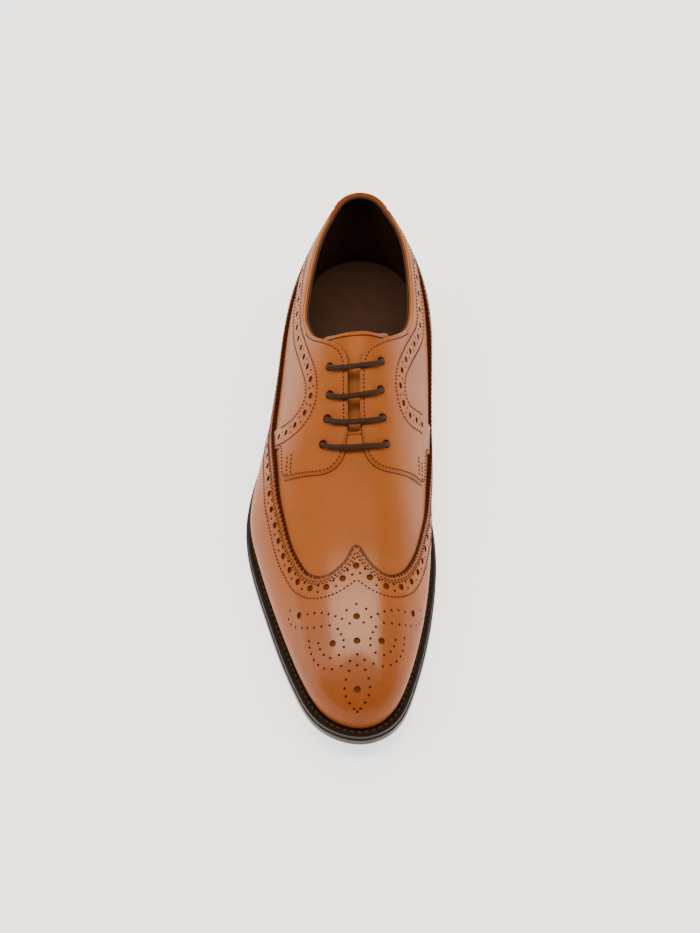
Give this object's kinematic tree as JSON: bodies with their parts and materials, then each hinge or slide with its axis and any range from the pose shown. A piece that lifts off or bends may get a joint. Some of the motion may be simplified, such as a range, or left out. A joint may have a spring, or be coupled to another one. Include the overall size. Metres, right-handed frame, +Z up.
{
  "type": "brogue shoe",
  "caption": "Longwing brogue derby for the right foot, with an open collar, gimped wing tip, laced facings, flat welt and stacked heel, standing empty on its sole.",
  "frame": {"origin": "under the middle of the sole's box, on the plane that the heel and the forepart stand on", "axes": "+Z up; the toe points to -Y and the heel to +Y; the big-toe side is +X"},
  "size_m": [0.1011, 0.299, 0.1042],
  "materials": {
    "upper_leather": "tan calf leather, polished, fine grain",
    "wing_leather": "tan calf leather, burnished towards the toe",
    "strip_leather": "red-brown calf leather",
    "tongue_leather": "tan calf leather, matt",
    "insole_leather": "dark brown leather, semi-matt",
    "welt_leather": "dark brown leather, dyed and waxed",
    "sole_leather": "dark edge-dyed sole leather",
    "heel_leather": "layers of dark dyed leather",
    "heel_rubber": "black rubber, matt",
    "lace_cord": "round waxed cotton cord"
  },
  "bodies": {
    "root": {"outsole": "sole_leather", "welt": "welt_leather", "heel_stack": "heel_leather", "top_piece": "heel_rubber", "insole": "insole_leather", "upper": "upper_leather", "wing_tip": "wing_leather", "facing_lateral": "upper_leather", "facing_medial": "upper_leather", "heel_strip": "strip_leather", "tongue": "tongue_leather", "lace": "lace_cord"}
  },
  "joints": []
}
